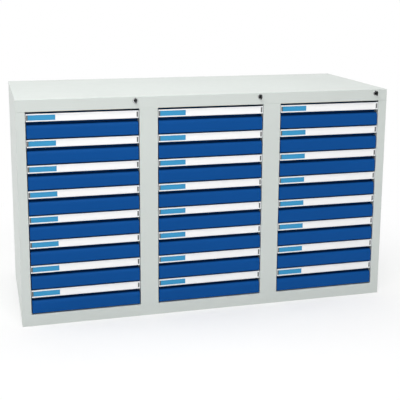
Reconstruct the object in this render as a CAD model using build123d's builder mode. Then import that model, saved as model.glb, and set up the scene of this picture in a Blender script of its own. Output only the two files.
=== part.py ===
from build123d import *
import math
import os

# Multi-drawer steel cabinet: three bays side by side, eight equal drawers in each, a lock over each bay.
# Frame: origin on the floor under the middle, +X to the right, +Z up, drawers open towards -Y.
# All sizes in mm. Depths are measured backwards from the front plane of the cabinet.

os.makedirs("parts", exist_ok=True)

# Carcass
bay_count = 3
row_count = 8
opening_width = 428.0
stile_width = 36.0
cabinet_depth = 600.0
apron_height = 46.5
sill_height = 46.0
head_gap = 7.5
sheet = 1.5
fold_radius = 1.2
cover_edge_radius = 2.2
seam_flange = 15.0
back_flange = 20.0
jamb_depth = 26.0

# Drawer fronts, heights counted up from the bottom of each drawer's own pitch
drawer_pitch = 98.0
drawer_gap = 4.8
strip_height = 28.8
finger_gap = 12.0
front_side_gap = 3.5
face_setback = 0.5
face_curve_radius = 16.0
face_hem_radius = 2.0
recess_corner_radius = 1.5
recess_depth = 22.0
tray_sheet = 1.2

# Label strip profile
strip_wall = 1.2
strip_lip = 4.3
strip_channel = 1.8
grip_depth = 9.0
grip_return = 5.0
strip_hook = 8.0
card_thickness = 0.5
card_clearance = 0.2
card_left_margin = 1.0
card_right_margin = 7.0
notch_margin = 1.2

# Drawer tray
tray_side_clearance = 13.0
tray_back_clearance = 30.0
tray_floor_height = 4.0
tray_headroom = 16.0
rim_height = 8.0

# Runners: a fixed channel on the guide plate, and a narrower one on the drawer that glides in it
plate_sheet = 1.2
plate_setback = 34.0
plate_foot = 12.0
plate_top_clearance = 20.0
runner_bottom = 8.0
runner_height = 30.0
runner_depth = 10.0
runner_length = 500.0
runner_wall = 1.2
glide_setback = 2.0
glide_clearance = 0.3

# Lock: a turning plug in a housing, with a pin that lifts a bar with one finger for each drawer
lock_inset = 15.0
lock_drop = 15.5
housing_flange_radius = 11.0
housing_flange = 3.0
housing_tube_radius = 9.0
housing_length = 22.0
housing_hole_clearance = 0.1
nut_across_flats = 24.0
nut_thickness = 5.0
plug_radius = 6.5
plug_proud = 0.3
plug_clearance = 0.05
keyway_width = 1.6
keyway_height = 7.0
keyway_depth = 8.0
key_clearance = 0.1
key_neck = 3.0
bow_length = 13.0
bow_height = 19.0
bow_thickness = 3.0
bow_corner_radius = 5.5
bow_edge_radius = 0.8
cam_radius = 11.5
cam_gap = 0.3
cam_thickness = 2.0
pin_radius = 2.0
pin_offset = 8.0
pin_overhang = 1.7
lock_turn = 90.0
bar_thickness = 2.0
bar_gap = 0.3
bar_offset = 3.0
bar_width = 16.0
bar_slot_clearance = 0.5
bar_head_margin = 3.0
bar_foot_height = 20.0
finger_reach = 9.0
finger_height = 12.0
finger_rail_gap = 8.0
catch_lift = 1.5
catch_height = 14.0
catch_thickness = 2.0
catch_play = 1.2
catch_edge_gap = 2.5

# Sizes that follow from the ones above
bay_pitch = opening_width + 2 * stile_width
cabinet_width = bay_count * bay_pitch
half_width = cabinet_width / 2
half_opening = opening_width / 2
stile_top = sill_height + row_count * drawer_pitch + head_gap
cabinet_height = stile_top + apron_height
back_inside = cabinet_depth - sheet

face_top = drawer_pitch - strip_height - finger_gap
strip_bottom = drawer_pitch - strip_height
half_front = half_opening - front_side_gap
web_front = strip_wall + strip_channel
web_back = web_front + strip_wall
flange_bottom = drawer_pitch - tray_sheet
tray_front = recess_depth + tray_sheet
tray_back = cabinet_depth - tray_back_clearance
tray_top = drawer_pitch - tray_headroom
half_tray = half_opening - tray_side_clearance

runner_top = runner_bottom + runner_height
finger_bottom = runner_top + finger_rail_gap
finger_top = finger_bottom + finger_height
catch_bottom = finger_top + catch_lift

bar_front = jamb_depth + bar_gap
bar_back = bar_front + bar_thickness
catch_front = bar_back + catch_play
lock_x = half_opening - lock_inset
lock_z = cabinet_height - lock_drop
plug_front = -housing_flange - plug_proud
bow_back = plug_front - key_neck
pin_start_angle = -lock_turn / 2
pin_x = lock_x + pin_offset * math.cos(math.radians(pin_start_angle))
pin_z = lock_z + pin_offset * math.sin(math.radians(pin_start_angle))
slot_radius = pin_radius + bar_slot_clearance
cam_front = housing_length + cam_gap

bay_centres = [(bay - (bay_count - 1) / 2) * bay_pitch for bay in range(bay_count)]
row_bases = [sill_height + row * drawer_pitch for row in range(row_count)]


def front_plane(depth):
    """Upright plane at a depth behind the front: its x is +X, its y is +Z, and it faces the user."""
    return Plane.XZ.offset(cabinet_depth / 2 - depth)


def side_plane():
    """Upright plane through the middle, with the front plane at x = 0, depth as x and height as y."""
    return Plane(origin=(0, -cabinet_depth / 2, 0), x_dir=(0, 1, 0), z_dir=(1, 0, 0))


def plate(x_range, z_range):
    """Rectangle in the current upright sketch, from its low and high x and its low and high z."""
    middle = ((x_range[0] + x_range[1]) / 2, (z_range[0] + z_range[1]) / 2)
    with Locations(middle):
        Rectangle(x_range[1] - x_range[0], z_range[1] - z_range[0])


def extrude_back(length):
    """Extrude the pending upright sketch backwards into the cabinet."""
    extrude(amount=-length)


def drawer_place(bay, row):
    """Place of a drawer whose shapes are made in the middle bay with their pitch bottom on the floor."""
    return Location((bay_centres[bay], 0, row_bases[row]))


# Casing: base and both sides as one folded sheet, with a flange on top and one behind
with BuildPart() as casing:
    with BuildSketch(front_plane(sheet)) as casing_section:
        plate((-half_width, half_width), (0, stile_top))
        with Locations((0, sheet)):
            Rectangle(
                cabinet_width - 2 * sheet, stile_top, align=(Align.CENTER, Align.MIN), mode=Mode.SUBTRACT
            )
        for side in (-1, 1):
            flange = sorted((side * (half_width - seam_flange), side * half_width))
            plate(flange, (stile_top - sheet, stile_top))
        outer_corners = casing_section.vertices().filter_by(lambda v: abs(v.X) > half_width - sheet / 2)
        fillet(outer_corners, fold_radius)
    extrude_back(back_inside - sheet)
    with BuildSketch(front_plane(back_inside - sheet)):
        for side in (-1, 1):
            flange = sorted((side * (half_width - sheet - back_flange), side * (half_width - sheet)))
            plate(flange, (sheet, stile_top - sheet))
    extrude_back(sheet)
casing.part.label = "casing"
export_step(casing.part, "parts/casing.step")

# Back panel: a flat sheet with a folded top edge for the cover to sit on
with BuildPart() as back_panel:
    with BuildSketch(front_plane(back_inside)):
        plate((-half_width, half_width), (0, stile_top))
    extrude_back(sheet)
    fillet(back_panel.faces().sort_by(Axis.Y)[-1].edges(), fold_radius)
    with BuildSketch(front_plane(cabinet_depth - seam_flange)):
        half_fold = half_width - sheet - back_flange - sheet
        plate((-half_fold, half_fold), (stile_top - sheet, stile_top))
    extrude_back(seam_flange - sheet)
back_panel.part.label = "back_panel"
export_step(back_panel.part, "parts/back_panel.step")

# Front frame: sill and stiles in one sheet, with jambs folded in round each opening
with BuildPart() as front_frame:
    with BuildSketch(front_plane(0)):
        plate((-half_width, half_width), (0, stile_top))
        for centre in bay_centres:
            with Locations((centre, sill_height)):
                Rectangle(opening_width, stile_top, align=(Align.CENTER, Align.MIN), mode=Mode.SUBTRACT)
    extrude_back(sheet)
    with BuildSketch(front_plane(sheet)):
        for centre in bay_centres:
            for side in (-1, 1):
                edge = centre + side * half_opening
                jamb = sorted((edge, edge + side * sheet))
                plate(jamb, (sill_height - sheet, stile_top))
            plate((centre - half_opening, centre + half_opening), (sill_height - sheet, sill_height))
    extrude_back(jamb_depth - sheet)
    with BuildSketch(front_plane(sheet)):
        for left, right in zip(bay_centres[:-1], bay_centres[1:]):
            plate((left + half_opening, right - half_opening), (stile_top - sheet, stile_top))
        for side in (-1, 1):
            tab = sorted((side * (half_width - stile_width), side * (half_width - seam_flange)))
            plate(tab, (stile_top - sheet, stile_top))
    extrude_back(seam_flange - sheet)
    fillet(front_frame.faces().sort_by(Axis.Y)[0].edges(), fold_radius)
front_frame.part.label = "front_frame"
export_step(front_frame.part, "parts/front_frame.step")

# Top cover: a shallow lid whose rim is the apron over the drawers, with a hole for each lock
with BuildPart() as top_cover:
    with BuildSketch(Plane.XY.offset(stile_top)):
        Rectangle(cabinet_width, cabinet_depth)
    extrude(amount=apron_height)
    fillet(top_cover.edges().filter_by(Axis.Z), fold_radius)
    fillet(top_cover.faces().sort_by(Axis.Z)[-1].edges(), cover_edge_radius)
    fillet(top_cover.faces().sort_by(Axis.Z)[0].edges(), fold_radius)
    with BuildSketch(Plane.XY.offset(stile_top + sheet)):
        Rectangle(cabinet_width - 2 * sheet, cabinet_depth - 2 * sheet)
    extrude(amount=apron_height - 2 * sheet, mode=Mode.SUBTRACT)
    with BuildSketch(Plane.XY.offset(stile_top)):
        Rectangle(cabinet_width - 2 * seam_flange, cabinet_depth - 2 * seam_flange)
    extrude(amount=sheet, mode=Mode.SUBTRACT)
    with BuildSketch(front_plane(0)):
        with Locations([(centre + lock_x, lock_z) for centre in bay_centres]):
            Circle(housing_tube_radius + housing_hole_clearance)
    extrude(amount=-sheet, mode=Mode.SUBTRACT)
top_cover.part.label = "top_cover"
export_step(top_cover.part, "parts/top_cover.step")

# Guide plate at the right of a bay, in the middle bay's place, with a foot and a rear fold
with BuildPart() as guide_plate:
    with BuildSketch(front_plane(plate_setback)):
        plate((half_opening, half_opening + plate_sheet), (sheet, stile_top - plate_top_clearance))
        plate((half_opening, half_opening + plate_foot), (sheet, sheet + plate_sheet))
    extrude_back(back_inside - plate_setback)
    with BuildSketch(front_plane(back_inside - plate_sheet)):
        plate((half_opening, half_opening + plate_foot), (sheet, stile_top - plate_top_clearance))
    extrude_back(plate_sheet)

# Fixed runner at the right of a bay: a channel open towards the drawer
with BuildPart() as fixed_runner:
    with BuildSketch(front_plane(plate_setback)):
        plate((half_opening - runner_depth, half_opening), (runner_bottom, runner_top))
        plate_inner = half_opening - runner_wall
        with Locations((plate_inner, runner_bottom + runner_wall)):
            Rectangle(
                runner_depth,
                runner_height - 2 * runner_wall,
                align=(Align.MAX, Align.MIN),
                mode=Mode.SUBTRACT,
            )
    extrude_back(runner_length)

# All guide plates and fixed runners share one node, each as its own solid
runner_solids = []
for bay_centre in bay_centres:
    right_plate = guide_plate.part.moved(Location((bay_centre, 0, 0)))
    left_plate = guide_plate.part.mirror(Plane.YZ).moved(Location((bay_centre, 0, 0)))
    runner_solids += [right_plate, left_plate]
    for row_base in row_bases:
        row_place = Location((bay_centre, 0, row_base))
        runner_solids.append(fixed_runner.part.moved(row_place))
        runner_solids.append(fixed_runner.part.mirror(Plane.YZ).moved(row_place))
runner_frames = Compound(label="runner_frames", children=runner_solids)
export_step(runner_frames, "parts/runner_frames.step")

# Lock housing: a flanged tube through the apron, and the nut that holds it from behind
with BuildPart() as lock_housing:
    with BuildSketch(front_plane(-housing_flange)):
        with Locations((lock_x, lock_z)):
            Circle(housing_flange_radius)
    extrude_back(housing_flange)
    front_rim = lock_housing.faces().sort_by(Axis.Y)[0].edges()
    chamfer(front_rim, housing_flange / 4)
    with BuildSketch(front_plane(0)):
        with Locations((lock_x, lock_z)):
            Circle(housing_tube_radius)
    extrude_back(housing_length)
    with BuildSketch(front_plane(-housing_flange)):
        with Locations((lock_x, lock_z)):
            Circle(plug_radius + plug_clearance)
    extrude(amount=-(housing_flange + housing_length), mode=Mode.SUBTRACT)

with BuildPart() as lock_nut:
    with BuildSketch(front_plane(sheet)):
        with Locations((lock_x, lock_z)):
            RegularPolygon(nut_across_flats / 2, 6, major_radius=False)
            Circle(housing_tube_radius + housing_hole_clearance, mode=Mode.SUBTRACT)
    extrude_back(nut_thickness)

housing_solids = []
for bay_centre in bay_centres:
    bay_place = Location((bay_centre, 0, 0))
    housing_solids += [lock_housing.part.moved(bay_place), lock_nut.part.moved(bay_place)]
lock_housings = Compound(label="lock_housings", children=housing_solids)
export_step(lock_housings, "parts/lock_housings.step")

# Lock plug: turns in its housing, with a cam disc behind and a pin that lifts the bar
with BuildPart() as lock_plug:
    with BuildSketch(front_plane(plug_front)):
        with Locations((lock_x, lock_z)):
            Circle(plug_radius)
    extrude_back(cam_front - plug_front)
    with BuildSketch(front_plane(plug_front)):
        with Locations((lock_x, lock_z)):
            Rectangle(keyway_width, keyway_height)
    extrude(amount=-keyway_depth, mode=Mode.SUBTRACT)
    with BuildSketch(front_plane(cam_front)):
        with Locations((lock_x, lock_z)):
            Circle(cam_radius)
    extrude_back(cam_thickness)
    with BuildSketch(front_plane(cam_front + cam_thickness)):
        with Locations((pin_x, pin_z)):
            Circle(pin_radius)
    extrude_back(bar_back + pin_overhang - cam_front - cam_thickness)

# Key in the lock: a blade that fills the keyway and a rounded bow in front of the plug
with BuildPart() as lock_key:
    key_plane = side_plane().offset(lock_x)
    with BuildSketch(key_plane):
        with Locations((bow_back - bow_length / 2, lock_z)):
            RectangleRounded(bow_length, bow_height, bow_corner_radius)
    extrude(amount=bow_thickness / 2, both=True)
    bow_faces = lock_key.faces().filter_by(Axis.X)
    fillet(bow_faces.edges(), bow_edge_radius)
    with BuildSketch(key_plane):
        blade_end = plug_front + keyway_depth
        with Locations(((bow_back + blade_end) / 2, lock_z)):
            Rectangle(blade_end - bow_back, keyway_height - 2 * key_clearance)
    extrude(amount=keyway_width / 2 - key_clearance, both=True)

# Lock bar: an upright strip behind the stile, slotted for the pin, with a finger for each drawer
with BuildPart() as lock_bar:
    with BuildSketch(front_plane(bar_front)):
        bar_left = half_opening + bar_offset
        bar_right = bar_left + bar_width
        bar_top = pin_z + slot_radius + bar_head_margin
        plate((bar_left, bar_right), (sill_height + bar_foot_height, bar_top))
        head_left = pin_x - slot_radius - bar_head_margin
        head_bottom = pin_z - slot_radius - bar_head_margin
        plate((head_left, bar_right), (head_bottom, bar_top))
        for row_base in row_bases:
            plate((half_opening - finger_reach, bar_left), (row_base + finger_bottom, row_base + finger_top))
        pin_reach = lock_x + pin_offset - pin_x
        with Locations((pin_x + pin_reach / 2, pin_z)):
            SlotCenterToCenter(pin_reach, 2 * slot_radius, mode=Mode.SUBTRACT)
    extrude_back(bar_thickness)

for bay, bay_centre in enumerate(bay_centres):
    bay_place = Location((bay_centre, 0, 0))
    turning_solids = [lock_plug.part.moved(bay_place), lock_key.part.moved(bay_place)]
    cylinder = Compound(label=f"lock_cylinder_{bay + 1}", children=turning_solids)
    export_step(cylinder, f"parts/lock_cylinder_{bay + 1}.step")
    bar = lock_bar.part.moved(bay_place)
    bar.label = f"lock_bar_{bay + 1}"
    export_step(bar, f"parts/lock_bar_{bay + 1}.step")

# Drawer tray: an open box with a doubled rim and, at the right, the catch that the lock finger holds
with BuildPart() as drawer_tray:
    tray_length = tray_back - tray_front
    tray_middle = (tray_front + tray_back) / 2 - cabinet_depth / 2
    with BuildSketch(Plane.XY.offset(tray_floor_height)):
        with Locations((0, tray_middle)):
            Rectangle(2 * half_tray, tray_length)
    extrude(amount=tray_top - tray_floor_height)
    with BuildSketch(Plane.XY.offset(tray_top - rim_height)):
        with Locations((0, tray_middle + tray_sheet / 2)):
            Rectangle(2 * (half_tray + tray_sheet), tray_length + tray_sheet)
    extrude(amount=rim_height)
    with BuildSketch(Plane.XY.offset(tray_floor_height + tray_sheet)):
        with Locations((0, tray_middle)):
            Rectangle(2 * (half_tray - tray_sheet), tray_length - 2 * tray_sheet)
    extrude(amount=tray_top - tray_floor_height - tray_sheet, mode=Mode.SUBTRACT)
    with BuildSketch(front_plane(catch_front)):
        plate((half_tray - tray_sheet, half_opening - catch_edge_gap), (catch_bottom, catch_bottom + catch_height))
    extrude_back(catch_thickness)

# Drawer front: one sheet folded from its bottom hem up the face, back over the curve, up the recess and
# forward again as the flange that holds the label strip
with BuildPart() as drawer_front:
    with BuildSketch(side_plane()):
        with BuildLine():
            FilletPolyline(
                (tray_front, drawer_gap),
                (face_setback, drawer_gap),
                (face_setback, face_top),
                (recess_depth, face_top),
                (recess_depth, flange_bottom),
                (web_back, flange_bottom),
                radius=[face_hem_radius, face_curve_radius, recess_corner_radius, recess_corner_radius],
            )
            offset(amount=tray_sheet, side=Side.RIGHT)
        make_face()
    extrude(amount=half_front, both=True)
    for side in (-1, 1):
        with BuildSketch(side_plane().offset(side * (half_front - tray_sheet / 2))):
            with BuildLine():
                cheek = FilletPolyline(
                    (tray_front, drawer_gap),
                    (face_setback, drawer_gap),
                    (face_setback, face_top),
                    (tray_front, face_top),
                    radius=[face_hem_radius, face_curve_radius],
                )
                Line(cheek @ 1, cheek @ 0)
            make_face()
        extrude(amount=tray_sheet / 2, both=True)

# Glide channel on the drawer's right side, open towards the tray
with BuildPart() as glide_channel:
    glide_outer = half_opening - runner_wall - glide_clearance
    glide_bottom = runner_bottom + runner_wall + glide_clearance
    glide_top = runner_top - runner_wall - glide_clearance
    with BuildSketch(front_plane(plate_setback + glide_setback)):
        plate((half_tray, glide_outer), (glide_bottom, glide_top))
        with Locations((glide_outer - runner_wall, glide_bottom + runner_wall)):
            Rectangle(
                glide_outer - half_tray,
                glide_top - glide_bottom - 2 * runner_wall,
                align=(Align.MAX, Align.MIN),
                mode=Mode.SUBTRACT,
            )
    extrude_back(runner_length)

# Label strip: an extruded grip with a channel in front for the label, a hook under the drawer's flange and
# another one below for the fingers
with BuildPart() as strip_profile:
    with BuildSketch(side_plane()):
        plate((web_front, web_back), (strip_bottom, drawer_pitch))
        plate((0, web_back), (drawer_pitch - strip_wall, drawer_pitch))
        plate((web_back, web_back + strip_hook), (flange_bottom - strip_wall, flange_bottom))
        plate((0, strip_wall), (drawer_pitch - strip_lip, drawer_pitch))
        plate((0, grip_depth), (strip_bottom, strip_bottom + strip_wall))
        plate((0, strip_wall), (strip_bottom, strip_bottom + strip_lip))
        plate((grip_depth - strip_wall, grip_depth), (strip_bottom, strip_bottom + grip_return))
    extrude(amount=half_front, both=True)
    with BuildSketch(front_plane(web_front)):
        notch = (half_front - card_right_margin, half_front - notch_margin)
        plate(notch, (strip_bottom + strip_lip, drawer_pitch - strip_lip))
    extrude(amount=-strip_wall, mode=Mode.SUBTRACT)

# Label card: slides into the channel behind the lips and lies against the web
with BuildPart() as label_card:
    card_front = web_front - card_thickness
    with BuildSketch(front_plane(card_front)):
        card_edge = strip_wall + card_clearance
        card_ends = (-half_front + card_left_margin, half_front - card_right_margin)
        plate(card_ends, (strip_bottom + card_edge, drawer_pitch - card_edge))
    extrude_back(card_thickness)

# Each drawer is a tray, a front and two glide channels; its strip and card are a node of their own
drawer_solids = [drawer_tray.part, drawer_front.part, glide_channel.part, glide_channel.part.mirror(Plane.YZ)]
strip_solids = [strip_profile.part, label_card.part]
for bay in range(bay_count):
    for row in range(row_count):
        number = f"{bay + 1}{row + 1}"
        place = drawer_place(bay, row)
        drawer = Compound(label=f"drawer_{number}", children=[solid.moved(place) for solid in drawer_solids])
        export_step(drawer, f"parts/drawer_{number}.step")
        strip = Compound(label=f"label_strip_{number}", children=[solid.moved(place) for solid in strip_solids])
        export_step(strip, f"parts/label_strip_{number}.step")
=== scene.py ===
"""Looks of a multi-drawer steel cabinet: powder-coated carcass, blue drawers, label strips and locks.

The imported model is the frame. Its nodes keep their place and get their finishes here, and the small
things that the frame leaves out are added: label papers, coloured tags, the stops that keep the labels
in, strip end caps, and the rivets of the back panel. All sizes are in metres, in the row frame: +X
right, +Z up, front towards -Y.
"""
import logging
import math
from dataclasses import dataclass
from enum import Enum

import bpy
import numpy as np
from mathutils import Matrix, Vector


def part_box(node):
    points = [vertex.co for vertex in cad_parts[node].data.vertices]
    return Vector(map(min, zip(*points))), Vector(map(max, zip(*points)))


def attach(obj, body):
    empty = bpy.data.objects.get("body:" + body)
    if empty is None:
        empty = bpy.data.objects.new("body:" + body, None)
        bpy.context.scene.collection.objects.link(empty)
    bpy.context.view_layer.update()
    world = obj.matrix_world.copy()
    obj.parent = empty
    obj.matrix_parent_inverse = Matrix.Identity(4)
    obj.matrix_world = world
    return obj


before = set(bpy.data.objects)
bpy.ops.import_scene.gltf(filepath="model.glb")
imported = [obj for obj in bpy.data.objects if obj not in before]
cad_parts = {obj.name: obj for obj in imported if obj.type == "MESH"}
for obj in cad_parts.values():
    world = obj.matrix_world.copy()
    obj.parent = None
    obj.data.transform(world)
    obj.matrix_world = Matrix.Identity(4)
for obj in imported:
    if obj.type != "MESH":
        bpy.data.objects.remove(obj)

log = logging.getLogger("cabinet")
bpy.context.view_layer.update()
MM = 0.001
WHITE = (1.0, 1.0, 1.0, 1.0)
NOISE_SPAN = (0.3, 0.7)
FOLD_SAMPLES = 4
SPACINGS_UP = 10.5

Colour = tuple[float, float, float, float]
Span = tuple[float, float]
Socket = bpy.types.NodeSocket


def linear(red: int, green: int, blue: int) -> Colour:
    """Scene-linear colour of an 8-bit display colour.

    The sRGB curve is undone: a straight line near black, and a power of 2.4 above it.

    Args:
        red, green, blue: display values from 0 to 255.

    Returns:
        The colour as four linear values, with alpha 1.
    """
    display = np.array([red, green, blue]) / 255.0
    low = display / 12.92
    high = ((display + 0.055) / 1.055) ** 2.4
    return (*(float(v) for v in np.where(display <= 0.04045, low, high)), 1.0)


def toned(colour: Colour, factor: float) -> Colour:
    """A linear colour made lighter or darker by a factor, alpha kept."""
    return (*(min(1.0, c * factor) for c in colour[:3]), 1.0)


def grey(value: float) -> Colour:
    """A neutral linear colour."""
    return (value, value, value, 1.0)


class Slot(Enum):
    """Names of material slots of the record; the new pieces are not put in them here."""

    BODY = "body_grey"
    LABEL = "label_white"


class Maths(Enum):
    """Operations of the Math node that the patterns use."""

    ADD = "ADD"
    SUBTRACT = "SUBTRACT"
    MULTIPLY = "MULTIPLY"
    MODULO = "MODULO"
    SIZE = "ABSOLUTE"
    ROOT = "SQRT"
    LARGER = "MAXIMUM"
    ABOVE = "GREATER_THAN"
    BELOW = "LESS_THAN"


# Node graphs


def shade(tree: bpy.types.NodeTree, kind: str, **values: object) -> Socket:
    """Adds a shader node and sets its sockets.

    Args:
        tree: the material's or the world's nodes.
        kind: the node's type.
        values: constants by socket name.

    Returns:
        The node's output.
    """
    node = tree.nodes.new(kind)
    for name, value in values.items():
        node.inputs[name].default_value = value
    return node.outputs[0]


def mixed(tree: bpy.types.NodeTree, factor: Socket, first: Socket, second: Socket) -> Socket:
    """Mix of two shaders.

    Args:
        tree: the material's or the world's nodes.
        factor: 0 for the first shader, 1 for the second.
        first, second: the shaders.

    Returns:
        The mixed shader.
    """
    node = tree.nodes.new("ShaderNodeMixShader")
    for source, target in zip((factor, first, second), node.inputs):
        tree.links.new(source, target)
    return node.outputs["Shader"]


class Graph:
    """A material's node tree, with short calls for the nodes that the finishes share."""

    def __init__(self, name: str) -> None:
        """Starts a material with one Principled shader wired to its output.

        Args:
            name: the material's name.
        """
        self.material = bpy.data.materials.new(name)
        self.material.use_nodes = True
        self.tree = self.material.node_tree
        self.tree.nodes.clear()
        self.shader = self.tree.nodes.new("ShaderNodeBsdfPrincipled")
        output = self.tree.nodes.new("ShaderNodeOutputMaterial")
        self.tree.links.new(self.shader.outputs["BSDF"], output.inputs["Surface"])
        self.place = self.tree.nodes.new("ShaderNodeTexCoord").outputs["Object"]

    def link(self, source: Socket, target: Socket) -> None:
        """Joins two sockets."""
        self.tree.links.new(source, target)

    def feed(self, socket: Socket, value: object) -> None:
        """Gives a socket a link or a constant.

        Args:
            socket: the input.
            value: another node's output, or the constant.
        """
        if isinstance(value, Socket):
            self.link(value, socket)
        else:
            socket.default_value = value

    def stretched(self, scale: tuple[float, float, float]) -> Socket:
        """Object coordinates scaled by axis, for patterns that run one way.

        Args:
            scale: factors on x, y and z.

        Returns:
            The scaled coordinates.
        """
        mapping = self.tree.nodes.new("ShaderNodeMapping")
        mapping.inputs["Scale"].default_value = scale
        self.link(self.place, mapping.inputs["Vector"])
        return mapping.outputs["Vector"]

    def noise(self, scale: float, detail: float = 2.0, where: object = None) -> Socket:
        """Noise factor over Object coordinates.

        Args:
            scale: cells per metre.
            detail: octaves of finer noise.
            where: a vector socket in place of the Object coordinates.

        Returns:
            The factor's socket, mostly within NOISE_SPAN and 0.5 on average.
        """
        node = self.tree.nodes.new("ShaderNodeTexNoise")
        node.inputs["Scale"].default_value = scale
        node.inputs["Detail"].default_value = detail
        self.link(where or self.place, node.inputs["Vector"])
        return node.outputs["Fac"]

    def cells(self, scale: float) -> Socket:
        """Random grey of Voronoi cells, for zinc spangle.

        Args:
            scale: cells per metre.

        Returns:
            The cells' colour socket.
        """
        node = self.tree.nodes.new("ShaderNodeTexVoronoi")
        node.inputs["Scale"].default_value = scale
        self.link(self.place, node.inputs["Vector"])
        return node.outputs["Color"]

    def spread(self, factor: Socket, low: float, high: float) -> Socket:
        """Maps a noise factor's usual span onto another.

        Args:
            factor: the noise.
            low, high: results at the ends of NOISE_SPAN.

        Returns:
            The mapped factor.
        """
        node = self.tree.nodes.new("ShaderNodeMapRange")
        node.inputs["From Min"].default_value, node.inputs["From Max"].default_value = NOISE_SPAN
        node.inputs["To Min"].default_value = low
        node.inputs["To Max"].default_value = high
        self.link(factor, node.inputs["Value"])
        return node.outputs["Result"]

    def rising(self, value: Socket, start: float, full: float) -> Socket:
        """Factor that rises smoothly from 0 to 1.

        Args:
            value: the number that it follows.
            start, full: where the factor leaves 0 and where it reaches 1.

        Returns:
            The factor.
        """
        node = self.tree.nodes.new("ShaderNodeMapRange")
        node.interpolation_type = "SMOOTHSTEP"
        node.inputs["From Min"].default_value = start
        node.inputs["From Max"].default_value = full
        self.link(value, node.inputs["Value"])
        return node.outputs["Result"]

    def blend(self, factor: Socket, first: object, second: object) -> Socket:
        """Colour between two others.

        Args:
            factor: 0 for the first colour, 1 for the second.
            first, second: sockets or constants.

        Returns:
            The blended colour.
        """
        node = self.tree.nodes.new("ShaderNodeMix")
        node.data_type = "RGBA"
        self.link(factor, node.inputs["Factor"])
        self.feed(node.inputs["A"], first)
        self.feed(node.inputs["B"], second)
        return node.outputs["Result"]

    def maths(self, kind: Maths, first: object, second: object = 0.0) -> Socket:
        """One Math node.

        Args:
            kind: the operation.
            first, second: sockets or constants. An operation on one number leaves the second out.

        Returns:
            The result.
        """
        node = self.tree.nodes.new("ShaderNodeMath")
        node.operation = kind.value
        self.feed(node.inputs[0], first)
        self.feed(node.inputs[1], second)
        return node.outputs["Value"]

    def axes(self) -> tuple[Socket, Socket, Socket]:
        """Object coordinates split up.

        Returns:
            The sockets of x, y and z.
        """
        node = self.tree.nodes.new("ShaderNodeSeparateXYZ")
        self.link(self.place, node.inputs["Vector"])
        return node.outputs["X"], node.outputs["Y"], node.outputs["Z"]

    def from_nearest(self, along: Socket, spacing: float, middle: float = 0.0) -> Socket:
        """Signed distance from the nearest one of a row of places.

        The coordinate is moved up by ten and a half spacings first, so that the modulo gets a positive
        number and gives half a spacing at each place.

        Args:
            along: the coordinate that runs along the row.
            spacing: step from one place to the next.
            middle: one of the places.

        Returns:
            The distance, from minus half a spacing to half a spacing.
        """
        moved = self.maths(Maths.ADD, along, SPACINGS_UP * spacing - middle)
        return self.maths(Maths.SUBTRACT, self.maths(Maths.MODULO, moved, spacing), 0.5 * spacing)

    def relief(self, height: Socket, depth: float, strength: float, softened: float = 0.0) -> None:
        """Bump on the shader's normal, over edges that are softened first.

        Args:
            height: height factor.
            depth: depth of the relief in metres.
            strength: share of the relief that shows.
            softened: radius over which the normals of folds and curves run together, in metres.
        """
        node = self.tree.nodes.new("ShaderNodeBump")
        node.inputs["Strength"].default_value = strength
        node.inputs["Distance"].default_value = depth
        self.link(height, node.inputs["Height"])
        if softened:
            fold = self.tree.nodes.new("ShaderNodeBevel")
            fold.samples = FOLD_SAMPLES
            fold.inputs["Radius"].default_value = softened
            self.link(fold.outputs["Normal"], node.inputs["Normal"])
        self.link(node.outputs["Normal"], self.shader.inputs["Normal"])

    def colour(self, source: Socket) -> None:
        """Feeds the shader's colour."""
        self.link(source, self.shader.inputs["Base Color"])

    def clouds(self, factor: Socket, colour: Colour, tones: Span) -> Socket:
        """A colour that noise makes darker and lighter.

        Args:
            factor: the noise.
            colour: the linear colour.
            tones: factors on the colour at the ends of NOISE_SPAN.

        Returns:
            The clouded colour.
        """
        return self.blend(self.spread(factor, 0.0, 1.0), toned(colour, tones[0]), toned(colour, tones[1]))

    def sheen(self, factor: Socket, rough: Span) -> None:
        """Feeds the shader's roughness, spread over rough by a noise factor."""
        self.link(self.spread(factor, *rough), self.shader.inputs["Roughness"])

    def constants(self, **values: object) -> None:
        """Sets constants on the shader's own sockets, with underscores for spaces."""
        for name, value in values.items():
            self.shader.inputs[name.replace("_", " ")].default_value = value


# Finishes


@dataclass(frozen=True)
class PowderCoat:
    """Baked powder paint on sheet steel: even colour, satin sheen and a fine orange-peel surface."""

    name: str
    colour: Colour
    rough: Span
    softened: float = 1.0 * MM
    cloud_cells: float = 2.6
    mottle: float = 0.018
    sheen_cells: float = 35.0
    peel_size: float = 1.6 * MM
    peel_depth: float = 0.16 * MM
    peel_strength: float = 0.6

    def clouded(self, graph: Graph, mottle: float) -> Socket:
        """The paint's colour in faint, wide clouds.

        Args:
            graph: the material's graph.
            mottle: share by which the clouds are darker and lighter.

        Returns:
            The colour's socket.
        """
        cloud = graph.noise(self.cloud_cells, detail=3.0)
        return graph.clouds(cloud, self.colour, (1 - mottle, 1 + mottle))

    def surface(self, graph: Graph) -> None:
        """Gives a shader the paint's sheen, and its orange peel over softened folds.

        Args:
            graph: the material's graph.
        """
        graph.sheen(graph.noise(self.sheen_cells), self.rough)
        peel = graph.noise(1 / self.peel_size, detail=1.0)
        graph.relief(peel, self.peel_depth, self.peel_strength, self.softened)

    def material(self) -> bpy.types.Material:
        """Builds the material.

        Returns:
            The material, patterned on Object coordinates.
        """
        graph = Graph(self.name)
        graph.colour(self.clouded(graph, self.mottle))
        self.surface(graph)
        graph.constants(Specular_IOR_Level=0.5)
        return graph.material


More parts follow.
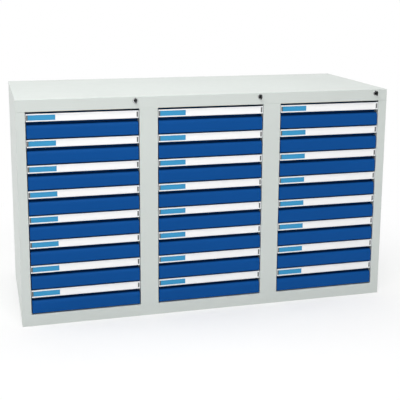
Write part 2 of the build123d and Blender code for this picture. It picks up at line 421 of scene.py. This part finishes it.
@dataclass(frozen=True)
class DrawerCoat:
    """Blue powder paint on the drawers, with painted shade darkening the finger recess, and zinc where the
    channels are.
    """

    paint: PowderCoat
    bay_pitch: float
    sill_top: float
    module: float
    front: float
    half_tray: float = 201 * MM
    side_play: float = 0.3 * MM
    glide_top: float = 40 * MM
    channel_start: float = 30 * MM
    channel_colour: Colour = linear(178, 181, 184)
    recess_start: float = 3 * MM
    recess_full: float = 13 * MM
    recess_back: float = 23 * MM
    # painted shade: share of the paint's colour that is left where the finger recess is darkened
    recess_shade_tone: float = 0.4
    gloss: float = 0.2
    gloss_tint: Colour = linear(120, 175, 255)

    def channels(self, graph: Graph) -> Socket:
        """Mask of the channels beside the tray.

        It is 1 where the distance from the bay's middle passes the tray's side, the height over the
        drawer's own base is below the channel's top, and the place is behind the front.

        Args:
            graph: the material's graph.

        Returns:
            The mask, 0 or 1.
        """
        x, y, z = graph.axes()
        across = graph.maths(Maths.SIZE, graph.from_nearest(x, self.bay_pitch))
        height = graph.maths(Maths.MODULO, graph.maths(Maths.SUBTRACT, z, self.sill_top), self.module)
        beside = graph.maths(Maths.ABOVE, across, self.half_tray + self.side_play)
        low = graph.maths(Maths.BELOW, height, self.glide_top)
        behind = graph.maths(Maths.ABOVE, y, self.front + self.channel_start)
        return graph.maths(Maths.MULTIPLY, graph.maths(Maths.MULTIPLY, beside, low), behind)

    def recess(self, graph: Graph) -> Socket:
        """Mask of the painted shade in the finger recess.

        It rises smoothly with the depth behind the front, and ends at the tray's front wall.

        Args:
            graph: the material's graph.

        Returns:
            The mask, from 0 to 1.
        """
        depth = graph.axes()[1]
        deep = graph.rising(depth, self.front + self.recess_start, self.front + self.recess_full)
        outside = graph.maths(Maths.BELOW, depth, self.front + self.recess_back)
        return graph.maths(Maths.MULTIPLY, deep, outside)

    def material(self) -> bpy.types.Material:
        """Builds the material: paint everywhere but on the channels, darkened by painted shade in the
        finger recess.

        Returns:
            The material, patterned on Object coordinates.
        """
        graph = Graph(self.paint.name)
        coat = self.paint.clouded(graph, 2 * self.paint.mottle)
        # painted shade: the paint's colour is darkened in the finger recess, in place of the shadow that
        # the label strip casts there
        coat = graph.blend(self.recess(graph), coat, toned(self.paint.colour, self.recess_shade_tone))
        zinc = self.channels(graph)
        graph.colour(graph.blend(zinc, coat, self.channel_colour))
        graph.link(zinc, graph.shader.inputs["Metallic"])
        self.paint.surface(graph)
        graph.constants(Specular_IOR_Level=self.gloss, Specular_Tint=self.gloss_tint)
        return graph.material


@dataclass(frozen=True)
class ZincPlate:
    """Zinc-plated sheet: dull metal with a cloudy spangle."""

    name: str = "zinc_plate"
    colour: Colour = linear(186, 189, 191)
    spangle_cells: float = 90.0
    spangle_tones: Span = (0.82, 1.08)
    sheen_cells: float = 60.0
    rough: Span = (0.34, 0.5)

    def material(self) -> bpy.types.Material:
        """Builds the material, with Voronoi spangle in the colour and noise in the roughness.

        Returns:
            The material, patterned on Object coordinates.
        """
        graph = Graph(self.name)
        dark, light = (toned(self.colour, tone) for tone in self.spangle_tones)
        graph.colour(graph.blend(graph.cells(self.spangle_cells), dark, light))
        graph.sheen(graph.noise(self.sheen_cells), self.rough)
        graph.constants(Metallic=1.0)
        return graph.material


@dataclass(frozen=True)
class TurnedMetal:
    """Plated metal turned on a lathe: bright, with fine rings about each lock's axis."""

    name: str
    colour: Colour
    rough: Span
    spacing: float
    middle: float
    height: float
    tones: Span = (0.9, 1.0)
    ring_width: float = 0.35 * MM
    ring_depth: float = 0.02 * MM
    ring_strength: float = 0.4

    def material(self) -> bpy.types.Material:
        """Builds the material.

        The rings are noise over one number: the distance from the axis, which is the root of the squares
        of the sideways distance to the nearest lock and the height over the locks.

        Returns:
            The material, patterned on Object coordinates.
        """
        graph = Graph(self.name)
        x, _, z = graph.axes()
        across = graph.from_nearest(x, self.spacing, self.middle)
        above = graph.maths(Maths.SUBTRACT, z, self.height)
        across_square = graph.maths(Maths.MULTIPLY, across, across)
        above_square = graph.maths(Maths.MULTIPLY, above, above)
        line = graph.tree.nodes.new("ShaderNodeCombineXYZ")
        away = graph.maths(Maths.ROOT, graph.maths(Maths.ADD, across_square, above_square))
        graph.link(away, line.inputs["X"])
        rings = graph.noise(1 / self.ring_width, detail=1.0, where=line.outputs["Vector"])
        graph.colour(graph.clouds(rings, self.colour, self.tones))
        graph.sheen(rings, self.rough)
        graph.relief(rings, self.ring_depth, self.ring_strength)
        graph.constants(Metallic=1.0)
        return graph.material


@dataclass(frozen=True)
class BlackNickel:
    """Black nickel plate on the lock plug and its key: dark, with a faint cloud from handling."""

    name: str = "lock_plug_black"
    colour: Colour = linear(36, 38, 39)
    rough: Span = (0.24, 0.405)
    cloud_cells: float = 260.0
    tones: Span = (0.8, 1.15)
    grain_cells: float = 3000.0
    grain_depth: float = 0.01 * MM
    grain_strength: float = 0.3

    def material(self) -> bpy.types.Material:
        """Builds the material, with one coarse and one fine noise.

        Returns:
            The material, patterned on Object coordinates.
        """
        graph = Graph(self.name)
        cloud = graph.noise(self.cloud_cells, detail=3.0)
        graph.colour(graph.clouds(cloud, self.colour, self.tones))
        graph.sheen(cloud, self.rough)
        grain = graph.noise(self.grain_cells, detail=1.0)
        graph.relief(grain, self.grain_depth, self.grain_strength)
        graph.constants(Metallic=1.0)
        return graph.material


@dataclass(frozen=True)
class ExtrudedPlastic:
    """Extruded plastic profile: satin, with faint draw lines along its length."""

    name: str
    colour: Colour
    rough: Span = (0.34, 0.43)
    line_cells: tuple[float, float, float] = (2.0, 1400.0, 1400.0)
    tones: Span = (0.975, 1.0)
    line_depth: float = 0.02 * MM
    line_strength: float = 0.3
    sheen_cells: float = 50.0

    def material(self) -> bpy.types.Material:
        """Builds the material, with noise drawn out along X for the draw lines.

        Returns:
            The material, patterned on Object coordinates.
        """
        graph = Graph(self.name)
        lines = graph.noise(1.0, detail=1.0, where=graph.stretched(self.line_cells))
        graph.colour(graph.clouds(lines, self.colour, self.tones))
        graph.sheen(graph.noise(self.sheen_cells), self.rough)
        graph.relief(lines, self.line_depth, self.line_strength)
        graph.constants(Specular_IOR_Level=0.45, Coat_Weight=0.15, Coat_Roughness=0.2)
        return graph.material


@dataclass(frozen=True)
class CardStock:
    """Thin label card: matt, with a paper fibre and a slight unevenness of tone."""

    name: str
    colour: Colour
    rough: Span = (0.57, 0.67)
    fibre_cells: tuple[float, float, float] = (900.0, 900.0, 2600.0)
    tones: Span = (0.965, 1.01)
    fibre_depth: float = 0.02 * MM
    fibre_strength: float = 0.2
    sheen_cells: float = 80.0

    def material(self) -> bpy.types.Material:
        """Builds the material, with the fibre in its colour and relief.

        Returns:
            The material, patterned on Object coordinates.
        """
        graph = Graph(self.name)
        fibre = graph.noise(1.0, detail=4.0, where=graph.stretched(self.fibre_cells))
        graph.colour(graph.clouds(fibre, self.colour, self.tones))
        graph.sheen(graph.noise(self.sheen_cells), self.rough)
        graph.relief(fibre, self.fibre_depth, self.fibre_strength)
        graph.constants(Specular_IOR_Level=0.4)
        return graph.material


# Surfaces worked out as whole arrays


def shell_mesh(name: str, stacks: np.ndarray, smoothed: bool = False) -> bpy.types.Object:
    """Closed shells, each one a stack of rings with a flat face at either end.

    Ring i's points j and j+1 and ring i+1's same points make one quad, with j going round. Every ring turns
    anticlockwise seen from where the stack goes to, so all faces point outwards.

    Args:
        name: the piece's name.
        stacks: array of shells by rings by points by xyz.
        smoothed: True to shade the faces smooth.

    Returns:
        The new object, linked to the scene, at the origin.
    """
    shells, levels, around = stacks.shape[:3]
    here = np.arange(around)
    after = (here + 1) % around
    low = np.arange(levels - 1)[:, None] * around
    quads = np.stack([low + here, low + after, low + around + after, low + around + here], axis=-1)
    first = np.arange(shells)[:, None] * levels * around
    sides = (first[:, :, None] + quads.reshape(1, -1, 4)).reshape(-1, 4)
    ends = np.concatenate([first + here[::-1], first + (levels - 1) * around + here])
    mesh = bpy.data.meshes.new(name)
    mesh.from_pydata(stacks.reshape(-1, 3).tolist(), [], sides.tolist() + ends.tolist())
    mesh.validate()
    mesh.polygons.foreach_set("use_smooth", np.full(len(mesh.polygons), smoothed))
    made = bpy.data.objects.new(name, mesh)
    bpy.context.scene.collection.objects.link(made)
    return made


def rounded_loop(width: float, height: float, radius: float, steps: int = 4) -> np.ndarray:
    """Outline of a rounded rectangle about the origin.

    Each corner is a quarter circle of the radius about a centre set in from the corner by the radius,
    with steps + 1 points, and the four quarters follow each other anticlockwise.

    Args:
        width, height: overall size.
        radius: corner radius.
        steps: straight pieces in each quarter.

    Returns:
        Array of points by two.
    """
    radius = min(radius, width / 2, height / 2)
    quarter = np.linspace(0, math.pi / 2, steps + 1)
    turns = np.arange(4) * math.pi / 2
    signs = np.array([[1, 1], [-1, 1], [-1, -1], [1, -1]])
    centres = signs * np.array([width / 2 - radius, height / 2 - radius])
    angles = (turns[:, None] + quarter).reshape(-1)
    arcs = radius * np.stack([np.cos(angles), np.sin(angles)], axis=-1)
    return arcs + np.repeat(centres, steps + 1, axis=0)


def upright_plate(
    name: str, x_range: Span, z_range: Span, y_range: Span, corner: float, ease: float
) -> bpy.types.Object:
    """Thin upright plate with rounded corners and eased edges, facing -Y.

    Three rings of one rounded rectangle: full size at the back, full size one eased edge short of the
    front, and drawn in by the eased edge at the front.

    Args:
        name: the piece's name.
        x_range, z_range, y_range: low and high corners.
        corner: corner radius.
        ease: size of the eased edge.

    Returns:
        The new object.
    """
    middle = np.array([sum(x_range) / 2, sum(z_range) / 2])
    width, height = x_range[1] - x_range[0], z_range[1] - z_range[0]
    rings = []
    for draw, place in ((0.0, y_range[1]), (0.0, y_range[0] + ease), (ease, y_range[0])):
        loop = rounded_loop(width - 2 * draw, height - 2 * draw, max(corner - draw, ease / 4)) + middle
        rings.append(np.stack([loop[:, 0], np.full(len(loop), place), loop[:, 1]], axis=-1))
    return shell_mesh(name, np.array([rings]))


def finish_piece(piece: bpy.types.Object, body: str, material: bpy.types.Material) -> None:
    """Gives a new piece its finish and the body it rides on, and logs it.

    Args:
        piece: the new object.
        body: name of the CAD body.
        material: the finish.
    """
    piece.data.materials.append(material)
    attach(piece, body)
    log.info("%s: %d faces on %s", piece.name, len(piece.data.polygons), body)


def dress(node: str, material: bpy.types.Material) -> None:
    """Puts a finish on every material slot of a CAD node, and logs it.

    Args:
        node: name of the CAD node.
        material: the finish.
    """
    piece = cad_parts[node]
    if not piece.material_slots:
        piece.data.materials.append(material)
    for slot in piece.material_slots:
        slot.material = material
    log.info("%s dressed in %s", node, material.name)


# Sub-assemblies


@dataclass(frozen=True)
class Layout:
    """Sizes and places read from the frame, shared by the sub-assemblies."""

    front: float
    width: float
    module: float
    sill_top: float
    bays: int = 3
    rows: int = 8

    @classmethod
    def read(cls) -> "Layout":
        """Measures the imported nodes.

        Returns:
            The layout, with the drawer module as the step from one label strip to the next.
        """
        cover_low, cover_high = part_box("top_cover")
        strip_top, next_top = (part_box(name)[1].z for name in ("label_strip_11", "label_strip_12"))
        module = next_top - strip_top
        return cls(
            front=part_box("front_frame")[0].y,
            width=cover_high.x - cover_low.x,
            module=module,
            sill_top=strip_top - module,
        )

    @property
    def bay_pitch(self) -> float:
        """Step from one bay to the next."""
        return self.width / self.bays

    def numbers(self) -> list[str]:
        """Bay and row of every drawer, as in its nodes' names."""
        return [f"{bay + 1}{row + 1}" for bay in range(self.bays) for row in range(self.rows)]


@dataclass
class Carcass:
    """Cover, casing, back, front frame and runners, and the rivets that hold the back panel."""

    paint: PowderCoat
    runner: ZincPlate
    body: str = "carcass"
    rivet_radius: float = 3.2 * MM
    rivet_height: float = 1.1 * MM
    rivet_inset: float = 12 * MM
    rivet_columns: int = 10
    rivet_rows: int = 6
    rivet_sides: int = 16
    rivet_rings: int = 5
    rivet_rise: float = 80.0

    def dress(self) -> None:
        """Paints the grey sheets and gives the runners their zinc."""
        coat = self.paint.material()
        for node in ("casing", "back_panel", "top_cover", "front_frame"):
            dress(node, coat)
        dress("runner_frames", self.runner.material())
        self.rivets(coat)

    def rivets(self, coat: bpy.types.Material) -> None:
        """Domed rivet heads along the back panel's edges, painted over, in one mesh.

        Each head is part of a revolved quarter wave: radius R cos a and height H sin a, for a from 0 to
        80 degrees. A flat disc closes it against the panel, and a small one on top.

        Args:
            coat: the carcass' paint.
        """
        low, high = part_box("back_panel")
        left, right = low.x + self.rivet_inset, high.x - self.rivet_inset
        bottom, top = low.z + self.rivet_inset, high.z - self.rivet_inset
        columns = np.linspace(left, right, self.rivet_columns)
        rows = np.linspace(bottom, top, self.rivet_rows)
        spots = [(x, z) for x in columns for z in (bottom, top)]
        spots += [(x, z) for x in (left, right) for z in rows[1:-1]]
        rise = np.linspace(0, math.radians(self.rivet_rise), self.rivet_rings)
        turn = np.linspace(0, 2 * math.pi, self.rivet_sides, endpoint=False)
        radius = self.rivet_radius * np.cos(rise)[:, None]
        proud = self.rivet_height * np.sin(rise)[:, None]
        head = np.stack([radius * np.cos(turn), high.y + proud + 0 * turn, -radius * np.sin(turn)], axis=-1)
        places = np.array([(x, 0.0, z) for x, z in spots])
        made = shell_mesh("back_rivets", head + places[:, None, None, :], smoothed=True)
        finish_piece(made, self.body, coat)


@dataclass
class Drawers:
    """Drawers with their label strips, papers, tags, stops and end caps."""

    layout: Layout
    paint: PowderCoat
    paper: CardStock
    tag: CardStock
    plastic: ExtrudedPlastic
    grey_plastic: ExtrudedPlastic
    tag_start: float = 6.2 * MM
    tag_end: float = 107 * MM
    card_end_gap: float = 7 * MM
    card_front: float = 2.5 * MM
    lip: float = 1.2 * MM
    lip_play: float = 0.4 * MM
    lip_height: float = 4.3 * MM
    paper_thickness: float = 0.25 * MM
    paper_corner: float = 0.6 * MM
    paper_ease: float = 0.05 * MM
    tag_thickness: float = 0.45 * MM
    tag_corner: float = 0.8 * MM
    tag_ease: float = 0.1 * MM
    stop_end_gap: float = 1.4 * MM
    stop_play: float = 0.2 * MM
    stop_depth: float = 2.0 * MM
    stop_corner: float = 1.2 * MM
    stop_ease: float = 0.4 * MM
    notch_stop_front: float = 1.9 * MM
    card_stop_front: float = 0.5 * MM
    cap_thickness: float = 1.2 * MM
    cap_depth: float = 9.2 * MM
    cap_corner: float = 0.9 * MM
    cap_ease: float = 0.35 * MM

    def dress(self) -> None:
        """Dresses every drawer and adds its paper, tag, stops and caps."""
        layout = self.layout
        coat = DrawerCoat(
            paint=self.paint,
            bay_pitch=layout.bay_pitch,
            sill_top=layout.sill_top,
            module=layout.module,
            front=layout.front,
        ).material()
        profile, paper, tag = self.plastic.material(), self.paper.material(), self.tag.material()
        grey_end = self.grey_plastic.material()
        for number in layout.numbers():
            dress(f"drawer_{number}", coat)
            dress(f"label_strip_{number}", profile)
            self.labels(number, paper, tag)
            self.stops(number, grey_end)
            self.caps(number, profile)

    def labels(self, number: str, paper: bpy.types.Material, tag: bpy.types.Material) -> None:
        """Puts the white paper and the coloured tag in front of the strip's card.

        Args:
            number: the drawer's bay and row.
            paper: finish of the paper.
            tag: finish of the tag.
        """
        low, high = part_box(f"label_strip_{number}")
        front = self.layout.front + self.card_front
        body = f"drawer_body_{number}"
        left = low.x + self.tag_start
        z_range = (low.z + self.lip + self.lip_play, high.z - self.lip - self.lip_play)
        sheet = upright_plate(
            f"label_paper_{number}",
            (left, high.x - self.card_end_gap),
            z_range,
            (front - self.paper_thickness, front),
            self.paper_corner,
            self.paper_ease,
        )
        finish_piece(sheet, body, paper)
        front -= self.paper_thickness
        colour = upright_plate(
            f"label_tag_{number}",
            (left, low.x + self.tag_end),
            z_range,
            (front - self.tag_thickness, front),
            self.tag_corner,
            self.tag_ease,
        )
        finish_piece(colour, body, tag)

    def stops(self, number: str, material: bpy.types.Material) -> None:
        """Puts a grey stop at either end of the label, so that it can't slide out.

        The left stop stands on the card, and the right one stands in the strip's notch.

        Args:
            number: the drawer's bay and row.
            material: finish of the stops.
        """
        low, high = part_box(f"label_strip_{number}")
        play = self.stop_play
        z_range = (low.z + self.lip_height + play, high.z - self.lip_height - play)
        left_range = (low.x + play, low.x + self.tag_start - play)
        right_range = (high.x - self.card_end_gap + play, high.x - self.stop_end_gap)
        for side, x_range, behind in (
            ("left", left_range, self.card_stop_front),
            ("right", right_range, self.notch_stop_front),
        ):
            front = self.layout.front + behind
            y_range = (front, front + self.stop_depth)
            name = f"label_stop_{side}_{number}"
            made = upright_plate(name, x_range, z_range, y_range, self.stop_corner, self.stop_ease)
            finish_piece(made, f"drawer_body_{number}", material)

    def caps(self, number: str, material: bpy.types.Material) -> None:
        """Closes both ends of the strip's profile with caps, in one mesh.

        Each cap is three rings of one rounded rectangle in depth and height: full size against the strip,
        full size near the outside, and drawn in by the eased edge at the outside. The left cap's rings turn
        the other way, because its stack goes the other way.

        Args:
            number: the drawer's bay and row.
            material: finish of the caps.
        """
        low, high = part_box(f"label_strip_{number}")
        height, thickness, ease = high.z - low.z, self.cap_thickness, self.cap_ease
        middle = np.array([self.layout.front + self.cap_depth / 2, (low.z + high.z) / 2])
        stacks = []
        for side, end in ((-1, low.x), (1, high.x)):
            rings = []
            for draw, out in ((0.0, 0.0), (0.0, thickness - ease), (ease, thickness)):
                loop = rounded_loop(self.cap_depth - 2 * draw, height - 2 * draw, self.cap_corner)
                depths, heights = (loop[::side] + middle).T
                rings.append(np.stack([np.full(len(loop), end + side * out), depths, heights], axis=-1))
            stacks.append(rings)
        made = shell_mesh(f"strip_caps_{number}", np.array(stacks))
        finish_piece(made, f"drawer_body_{number}", material)


@dataclass
class Locks:
    """Lock housings, plugs with their keys, and bars."""

    layout: Layout
    plug: BlackNickel
    bar: ZincPlate
    rim_colour: Colour = linear(182, 184, 184)
    rim_rough: Span = (0.221, 0.312)

    def rim(self) -> TurnedMetal:
        """Finish of the housings, with its rings about the locks' axes as the frame places them.

        Returns:
            The finish.
        """
        low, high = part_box("lock_housings")
        return TurnedMetal(
            "lock_rim_nickel",
            self.rim_colour,
            self.rim_rough,
            spacing=self.layout.bay_pitch,
            middle=(low.x + high.x) / 2,
            height=(low.z + high.z) / 2,
        )

    def dress(self) -> None:
        """Dresses the lock nodes."""
        plug, bar = self.plug.material(), self.bar.material()
        dress("lock_housings", self.rim().material())
        for bay in range(self.layout.bays):
            dress(f"lock_cylinder_{bay + 1}", plug)
            dress(f"lock_bar_{bay + 1}", bar)


@dataclass(frozen=True)
class Softbox:
    """Rectangular lamp aimed at a point."""

    name: str
    place: tuple[float, float, float]
    target: tuple[float, float, float]
    size: Span
    watts: float

    def build(self) -> None:
        """Adds the lamp."""
        data = bpy.data.lights.new(self.name, "AREA")
        data.shape = "RECTANGLE"
        data.size, data.size_y = self.size
        data.energy = self.watts
        made = bpy.data.objects.new(self.name, data)
        bpy.context.scene.collection.objects.link(made)
        made.location = self.place
        aim = Vector(self.target) - Vector(self.place)
        made.rotation_euler = aim.to_track_quat("-Z", "Y").to_euler()


@dataclass
class Studio:
    """Camera, lamps, world and floor.

    The camera's place, angles, focal length and shift come from a fit of the cabinet's edges in the
    photograph. Angles are in degrees, and the focal length and the shift in pixels of the frame.
    """

    camera_place: tuple[float, float, float] = (-0.866077, -3.366931, 1.313693)
    yaw: float = 14.967
    pitch: float = -10.858
    roll: float = -0.351
    focal: float = 825.873
    frame_pixels: float = 400.0
    sensor: float = 36.0
    shift_pixels: float = -60.0
    clip: Span = (0.05, 60.0)
    floor_radius: float = 9.0
    floor_sides: int = 96
    floor_drop: float = 0.05 * MM
    floor_bounce: float = 0.8
    floor_tone: float = 0.97
    floor_fade: Span = (0.3, 1.7)
    floor_white: float = 0.35
    ambient: float = 0.3
    softboxes: tuple[Softbox, ...] = (
        Softbox("key_softbox", (-0.9, -2.4, 3.7), (0.0, -0.2, 0.25), (2.4, 1.6), 84.0),
        Softbox("fill_softbox", (-0.1, -4.6, 1.6), (-0.1, 0.0, 0.1), (2.6, 2.0), 37.0),
        Softbox("top_softbox", (0.0, 0.6, 3.7), (0.0, 0.1, 0.9), (3.0, 2.0), 39.0),
        Softbox("left_softbox", (-4.0, 0.6, 1.5), (-0.75, 0.0, 0.45), (1.5, 1.5), 37.0),
        Softbox("right_softbox", (4.0, 0.5, 0.5), (0.75, 0.0, 0.45), (1.2, 0.7), 46.0),
        Softbox("back_softbox", (0.0, 4.0, 0.44), (0.0, 0.3, 0.44), (1.4, 0.8), 54.0),
    )

    def camera(self) -> None:
        """Camera at the photograph's viewing angle.

        Its forward axis is yaw to the right of +Y and pitch above the horizon, and its right and up axes
        turn about it by roll.
        """
        yaw, pitch, roll = (math.radians(v) for v in (self.yaw, self.pitch, self.roll))
        ahead = Vector((math.sin(yaw) * math.cos(pitch), math.cos(yaw) * math.cos(pitch), math.sin(pitch)))
        right = ahead.cross(Vector((0, 0, 1))).normalized()
        up = right.cross(ahead)
        turned_right = right * math.cos(roll) - up * math.sin(roll)
        turned_up = up * math.cos(roll) + right * math.sin(roll)
        data = bpy.data.cameras.new("camera")
        data.sensor_width = self.sensor
        data.lens = self.focal / self.frame_pixels * self.sensor
        data.shift_y = self.shift_pixels / self.frame_pixels
        data.clip_start, data.clip_end = self.clip
        made = bpy.data.objects.new("camera", data)
        bpy.context.scene.collection.objects.link(made)
        turn = Matrix((turned_right, turned_up, -ahead)).transposed().to_4x4()
        made.matrix_world = Matrix.Translation(Vector(self.camera_place)) @ turn
        bpy.context.scene.camera = made

    def seen_directly(self, tree: bpy.types.NodeTree) -> Socket:
        """Factor that is 1 for rays from the camera and rays seen in gloss or through glass.

        Args:
            tree: the material's or the world's nodes.

        Returns:
            The factor.
        """
        path = tree.nodes.new("ShaderNodeLightPath")
        total = path.outputs["Is Camera Ray"]
        for kind in ("Is Glossy Ray", "Is Transmission Ray"):
            larger = tree.nodes.new("ShaderNodeMath")
            larger.operation = Maths.LARGER.value
            tree.links.new(total, larger.inputs[0])
            tree.links.new(path.outputs[kind], larger.inputs[1])
            total = larger.outputs["Value"]
        return total

    def world(self) -> None:
        """Even ambient light that is seen as plain white."""
        world = bpy.data.worlds.new("studio")
        bpy.context.scene.world = world
        world.use_nodes = True
        tree = world.node_tree
        tree.nodes.clear()
        light = shade(tree, "ShaderNodeBackground", Color=WHITE, Strength=self.ambient)
        backdrop = shade(tree, "ShaderNodeBackground", Color=WHITE, Strength=1.0)
        output = tree.nodes.new("ShaderNodeOutputWorld")
        tree.links.new(mixed(tree, self.seen_directly(tree), light, backdrop), output.inputs["Surface"])

    def floor_material(self) -> bpy.types.Material:
        """White floor: to the eye it is pale near the object, with its shadow, and plain white further out.

        The share of plain white goes smoothly from floor_white to 1 with the distance from the origin.
        Other light meets a grey-white that bounces it.

        Returns:
            The material.
        """
        material = bpy.data.materials.new("floor_white")
        material.use_nodes = True
        tree = material.node_tree
        tree.nodes.clear()
        away = tree.nodes.new("ShaderNodeVectorMath")
        away.operation = "LENGTH"
        tree.links.new(tree.nodes.new("ShaderNodeTexCoord").outputs["Object"], away.inputs[0])
        fade = tree.nodes.new("ShaderNodeMapRange")
        fade.interpolation_type = "SMOOTHSTEP"
        fade.inputs["From Min"].default_value, fade.inputs["From Max"].default_value = self.floor_fade
        fade.inputs["To Min"].default_value = self.floor_white
        tree.links.new(away.outputs["Value"], fade.inputs["Value"])
        bounce = shade(tree, "ShaderNodeBsdfDiffuse", Color=grey(self.floor_bounce))
        matt = shade(tree, "ShaderNodeBsdfDiffuse", Color=grey(self.floor_tone))
        glow = shade(tree, "ShaderNodeEmission", Color=WHITE)
        seen = mixed(tree, fade.outputs["Result"], matt, glow)
        output = tree.nodes.new("ShaderNodeOutputMaterial")
        tree.links.new(mixed(tree, self.seen_directly(tree), bounce, seen), output.inputs["Surface"])
        return material

    def floor(self) -> None:
        """Round floor just under the object, as one face on a circle."""
        turn = np.linspace(0, 2 * math.pi, self.floor_sides, endpoint=False)
        rim = self.floor_radius * np.stack([np.cos(turn), np.sin(turn), 0 * turn], axis=-1)
        rim[:, 2] = -self.floor_drop
        mesh = bpy.data.meshes.new("floor")
        mesh.from_pydata(rim.tolist(), [], [list(range(self.floor_sides))])
        mesh.materials.append(self.floor_material())
        made = bpy.data.objects.new("floor", mesh)
        bpy.context.scene.collection.objects.link(made)

    def build(self) -> None:
        """Sets the view transform and builds camera, lamps, world and floor."""
        bpy.context.scene.view_settings.view_transform = "Standard"
        self.camera()
        for softbox in self.softboxes:
            softbox.build()
        self.world()
        self.floor()


def main() -> None:
    """Builds the sub-assemblies in order."""
    logging.basicConfig(level=logging.INFO, format="%(name)s %(message)s")
    layout = Layout.read()
    body_paint = PowderCoat("body_powder", linear(207, 213, 209), rough=(0.42, 0.49))
    Carcass(body_paint, runner=ZincPlate()).dress()
    Drawers(
        layout,
        paint=PowderCoat("drawer_powder", linear(14, 76, 145), rough=(0.47, 0.54), softened=3 * MM),
        paper=CardStock("label_card_white", linear(253, 253, 253)),
        tag=CardStock("label_tag_blue", linear(46, 148, 198), rough=(0.45, 0.55)),
        plastic=ExtrudedPlastic("strip_plastic", linear(245, 247, 249)),
        grey_plastic=ExtrudedPlastic("label_stop_plastic", linear(90, 93, 92)),
    ).dress()
    Locks(layout, plug=BlackNickel(), bar=ZincPlate(name="bar_zinc")).dress()
    Studio().build()


if __name__ == "__main__":
    main()
